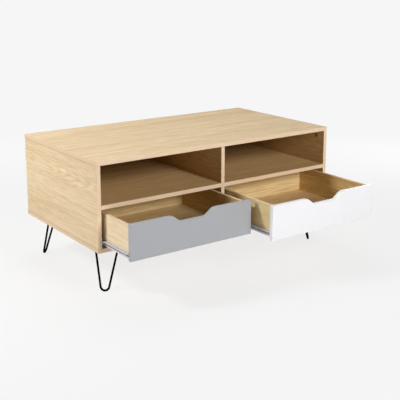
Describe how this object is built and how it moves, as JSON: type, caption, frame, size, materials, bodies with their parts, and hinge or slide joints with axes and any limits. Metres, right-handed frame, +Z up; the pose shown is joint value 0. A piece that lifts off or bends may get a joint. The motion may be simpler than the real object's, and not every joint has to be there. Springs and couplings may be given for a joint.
{
  "type": "coffee table with drawers",
  "caption": "Low oak-look coffee table on black hairpin legs, with open niches above grey and white notched drawers that slide on roller runners.",
  "frame": {"origin": "on the floor, under the middle of the table's overall box with both drawers pulled out as in the picture", "axes": "+X along the table to the right seen from the drawers, -Y to the drawers' side, +Z up"},
  "size_m": [1.1, 0.892, 0.5],
  "materials": {
    "oak_long_board": "satin laminate",
    "oak_upright_board": "satin laminate",
    "oak_back_sheet": "satin laminate",
    "oak_box_side": "satin laminate",
    "oak_box_back": "satin laminate",
    "oak_box_floor": "satin laminate",
    "grey_front": "satin lacquer",
    "white_front": "satin lacquer",
    "black_rod": "satin powder coat",
    "black_plate": "satin powder coat",
    "black_screws": "satin",
    "coated_runner": "epoxy coat",
    "roller_nylon": "moulded",
    "cap_plastic": "moulded",
    "zinc_fittings": "zinc plated",
    "beech_dowels": "raw"
  },
  "bodies": {
    "carcase": {"top_panel": "oak_long_board", "bottom_panel": "oak_long_board", "left_side_panel": "oak_upright_board", "right_side_panel": "oak_upright_board", "middle_shelf": "oak_long_board", "upper_divider": "oak_upright_board", "lower_divider": "oak_upright_board", "back_panel": "oak_back_sheet", "cam_locks": "zinc_fittings", "cam_caps": "cap_plastic", "cam_bolts": "zinc_fittings", "carcase_dowels": "beech_dowels", "back_nails": "zinc_fittings", "leg_screws": "black_screws", "case_rail_screws": "zinc_fittings", "front_roller_pins": "zinc_fittings", "front_left_leg": "black_rod", "front_left_leg_plate": "black_plate", "front_right_leg": "black_rod", "front_right_leg_plate": "black_plate", "back_left_leg": "black_rod", "back_left_leg_plate": "black_plate", "back_right_leg": "black_rod", "back_right_leg_plate": "black_plate", "left_bay_left_rail": "coated_runner", "left_bay_right_rail": "coated_runner", "right_bay_left_rail": "coated_runner", "right_bay_right_rail": "coated_runner"},
    "left_drawer": {"left_drawer_front": "grey_front", "left_drawer_left_side": "oak_box_side", "left_drawer_right_side": "oak_box_side", "left_drawer_back": "oak_box_back", "left_drawer_floor": "oak_box_floor", "left_drawer_left_rail": "coated_runner", "left_drawer_right_rail": "coated_runner", "left_drawer_roller_pins": "zinc_fittings", "left_drawer_dowels": "beech_dowels", "left_drawer_back_screws": "zinc_fittings", "left_drawer_rail_screws": "zinc_fittings"},
    "right_drawer": {"right_drawer_front": "white_front", "right_drawer_left_side": "oak_box_side", "right_drawer_right_side": "oak_box_side", "right_drawer_back": "oak_box_back", "right_drawer_floor": "oak_box_floor", "right_drawer_left_rail": "coated_runner", "right_drawer_right_rail": "coated_runner", "right_drawer_roller_pins": "zinc_fittings", "right_drawer_dowels": "beech_dowels", "right_drawer_back_screws": "zinc_fittings", "right_drawer_rail_screws": "zinc_fittings"},
    "left_bay_left_roller": {"left_bay_left_roller": "roller_nylon"},
    "left_drawer_left_roller": {"left_drawer_left_roller": "roller_nylon"},
    "left_bay_right_roller": {"left_bay_right_roller": "roller_nylon"},
    "left_drawer_right_roller": {"left_drawer_right_roller": "roller_nylon"},
    "right_bay_left_roller": {"right_bay_left_roller": "roller_nylon"},
    "right_drawer_left_roller": {"right_drawer_left_roller": "roller_nylon"},
    "right_bay_right_roller": {"right_bay_right_roller": "roller_nylon"},
    "right_drawer_right_roller": {"right_drawer_right_roller": "roller_nylon"}
  },
  "joints": [
    {"name": "left_drawer_slide", "type": "slide", "parent": "carcase", "child": "left_drawer", "axis": [0, -1, 0], "range_m": [-0.1625, 0.1375]},
    {"name": "right_drawer_slide", "type": "slide", "parent": "carcase", "child": "right_drawer", "axis": [0, -1, 0], "range_m": [-0.276, 0.024]},
    {"name": "left_bay_left_roller_spin", "type": "hinge", "parent": "carcase", "child": "left_bay_left_roller", "pos_m": [-0.5271, -0.14, 0.202], "axis": [1, 0, 0], "continuous": true},
    {"name": "left_drawer_left_roller_spin", "type": "hinge", "parent": "left_drawer", "child": "left_drawer_left_roller", "pos_m": [-0.5256, 0.0705, 0.2114], "axis": [1, 0, 0], "continuous": true},
    {"name": "left_bay_right_roller_spin", "type": "hinge", "parent": "carcase", "child": "left_bay_right_roller", "pos_m": [-0.0149, -0.14, 0.202], "axis": [1, 0, 0], "continuous": true},
    {"name": "left_drawer_right_roller_spin", "type": "hinge", "parent": "left_drawer", "child": "left_drawer_right_roller", "pos_m": [-0.0164, 0.0705, 0.2114], "axis": [1, 0, 0], "continuous": true},
    {"name": "right_bay_left_roller_spin", "type": "hinge", "parent": "carcase", "child": "right_bay_left_roller", "pos_m": [0.0149, -0.14, 0.202], "axis": [1, 0, 0], "continuous": true},
    {"name": "right_drawer_left_roller_spin", "type": "hinge", "parent": "right_drawer", "child": "right_drawer_left_roller", "pos_m": [0.0164, -0.043, 0.2114], "axis": [1, 0, 0], "continuous": true},
    {"name": "right_bay_right_roller_spin", "type": "hinge", "parent": "carcase", "child": "right_bay_right_roller", "pos_m": [0.5271, -0.14, 0.202], "axis": [1, 0, 0], "continuous": true},
    {"name": "right_drawer_right_roller_spin", "type": "hinge", "parent": "right_drawer", "child": "right_drawer_right_roller", "pos_m": [0.5256, -0.043, 0.2114], "axis": [1, 0, 0], "continuous": true}
  ],
  "couplings": [
    {"joint": "left_bay_left_roller_spin", "follows": "left_drawer_slide", "rad_per_m": 117.65},
    {"joint": "left_drawer_left_roller_spin", "follows": "left_drawer_slide", "rad_per_m": 117.65},
    {"joint": "left_bay_right_roller_spin", "follows": "left_drawer_slide", "rad_per_m": 117.65},
    {"joint": "left_drawer_right_roller_spin", "follows": "left_drawer_slide", "rad_per_m": 117.65},
    {"joint": "right_bay_left_roller_spin", "follows": "right_drawer_slide", "rad_per_m": 117.65},
    {"joint": "right_drawer_left_roller_spin", "follows": "right_drawer_slide", "rad_per_m": 117.65},
    {"joint": "right_bay_right_roller_spin", "follows": "right_drawer_slide", "rad_per_m": 117.65},
    {"joint": "right_drawer_right_roller_spin", "follows": "right_drawer_slide", "rad_per_m": 117.65}
  ]
}
